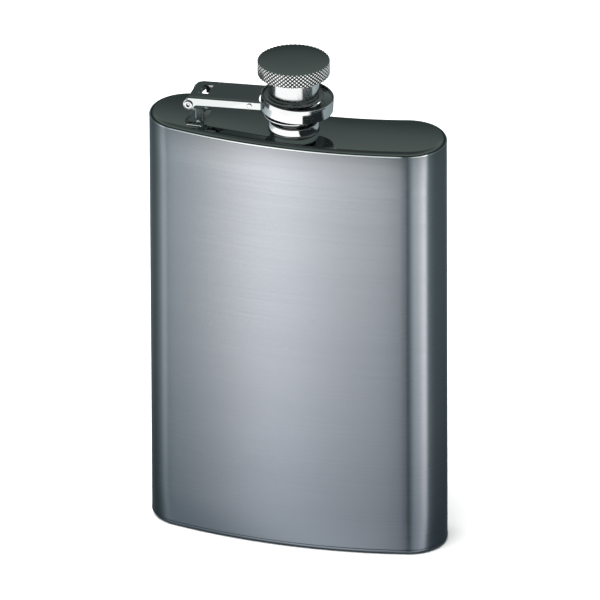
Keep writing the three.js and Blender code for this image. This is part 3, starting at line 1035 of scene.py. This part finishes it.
def build_fitting_card():
    """A small card level with the top plate that the ring, arm and cap reflect. From below it is
    clear."""
    n, surface = flat_card("fitting_card", GRIP_REACH, PLATE_Z + 0.0008)
    seen = n.add("NewGeometry")
    about_axis = n.add("VectorMath", operation="SUBTRACT")
    n.link(seen.outputs["Position"], about_axis.inputs[0])
    about_axis.inputs[1].default_value = (0, AXIS_Y, PLATE_Z)
    far = n.add("VectorMath", operation="LENGTH")
    n.link(about_axis.outputs[0], far.inputs[0])
    way = n.add("SeparateXYZ")
    n.link(about_axis.outputs[0], way.inputs[0])
    compass = n.math("ARCTAN2", way.outputs[0], n.math("MULTIPLY", way.outputs[1], -1.0))
    level = band_ramp(n, compass, GRIP_BANDS)
    for bands, reach in ((SKIRT_BANDS, SKIRT_REACH), (FITTING_BANDS, FITTING_REACH)):
        within = n.add("Mix", data_type="RGBA")
        n.link(n.math("LESS_THAN", far.outputs["Value"], reach), within.inputs[0])
        n.link(level, within.inputs[6])
        n.link(band_ramp(n, compass, bands), within.inputs[7])
        level = within.outputs[2]
    glow = n.add("Emission")
    n.link(level, glow.inputs[0])
    direct = n.math("LESS_THAN", n.add("LightPath").outputs["Ray Depth"], 1.5)
    n.link(n.spread(direct, 0.0, 1.0, 0.12, 1.0), glow.inputs["Strength"])
    clear = n.add("BsdfTransparent")
    blend = n.add("MixShader")
    n.link(seen.outputs["Backfacing"], blend.inputs[0])
    n.link(glow.outputs[0], blend.inputs[1])
    n.link(clear.outputs[0], blend.inputs[2])
    n.link(blend.outputs[0], surface)


def build_world():
    world = bpy.data.worlds.new("studio")
    bpy.context.scene.world = world
    world.use_nodes = True
    n = Nodes(world.node_tree)
    background = world.node_tree.nodes["Background"]
    way = n.add("SeparateXYZ")
    n.link(n.add("TexCoord").outputs["Generated"], way.inputs[0])
    back = n.math("MULTIPLY", way.outputs[1], -1.0)
    compass = n.math("ARCTAN2", way.outputs[0], back)
    low = band_ramp(n, compass, BODY_BANDS)
    high = n.ramp(way.outputs[2], [
        (0.0, (0.016, 0.022, 0.022)), (0.26, (0.02, 0.026, 0.026)), (0.38, (0.04, 0.05, 0.05)),
        (0.46, (0.078, 0.093, 0.09)), (0.58, (0.105, 0.13, 0.12)), (0.8, (0.07, 0.085, 0.08)),
        (1.0, (0.03, 0.034, 0.035)),
    ])
    mix = n.add("Mix", data_type="RGBA")
    n.link(n.spread(way.outputs[2], -0.06, 0.0, 0.0, 1.0), mix.inputs[0])
    n.link(low, mix.inputs[6])
    n.link(high, mix.inputs[7])
    seen = n.add("Mix", data_type="RGBA")
    n.link(n.add("LightPath").outputs["Is Camera Ray"], seen.inputs[0])
    n.link(mix.outputs[2], seen.inputs[6])
    seen.inputs[7].default_value = (0.93, 0.93, 0.93, 1)
    n.link(seen.outputs[2], background.inputs["Color"])


def build_lights():
    lamp = bpy.data.lights.new("overhead_softbox", "AREA")
    lamp.shape = "DISK"
    lamp.size = 2.4
    lamp.energy = 100
    light = bpy.data.objects.new("overhead_softbox", lamp)
    light.location = (-0.3, -0.4, 2.0)
    light.rotation_euler = Vector((0.3, 0.4, -2.0)).to_track_quat("-Z", "Y").to_euler()
    light.visible_glossy = False
    bpy.context.scene.collection.objects.link(light)


CAMERA_TURN = math.radians(16.12)
CAMERA_RISE = math.radians(26.6)
CAMERA_ROLL = math.radians(-0.26)
CAMERA_DISTANCE = 7.4
CAMERA_LENS = 1478.0
FRAME_RIGHT = 0.00157
FRAME_UP = 0.0088


def build_camera():
    data = bpy.data.cameras.new("studio_camera")
    data.sensor_width = 36
    data.lens = CAMERA_LENS
    data.clip_start, data.clip_end = 0.1, 50
    camera = bpy.data.objects.new("studio_camera", data)
    bpy.context.scene.collection.objects.link(camera)
    flat = math.cos(CAMERA_RISE)
    back = Vector((math.sin(CAMERA_TURN) * flat, -math.cos(CAMERA_TURN) * flat,
        math.sin(CAMERA_RISE)))
    turn = (-back).to_track_quat("-Z", "Y")
    right, up = turn @ Vector((1, 0, 0)), turn @ Vector((0, 1, 0))
    aim = Vector((0, AXIS_Y, PLATE_Z / 2)) + right * FRAME_RIGHT + up * FRAME_UP
    camera.location = aim + back * CAMERA_DISTANCE
    camera.rotation_mode = "QUATERNION"
    camera.rotation_quaternion = turn @ Matrix.Rotation(CAMERA_ROLL, 3, "Z").to_quaternion()
    bpy.context.scene.camera = camera


build_body()
build_neck()
build_cap_head()
build_cap_sleeve()
build_washers()
build_gasket()
build_ring()
build_arm()
build_ring_rivets()
build_hinge_pin()
build_bracket()
build_floor()
build_shade_card()
build_fitting_card()
build_world()
build_lights()
build_camera()
bpy.context.scene.view_settings.view_transform = "Standard"
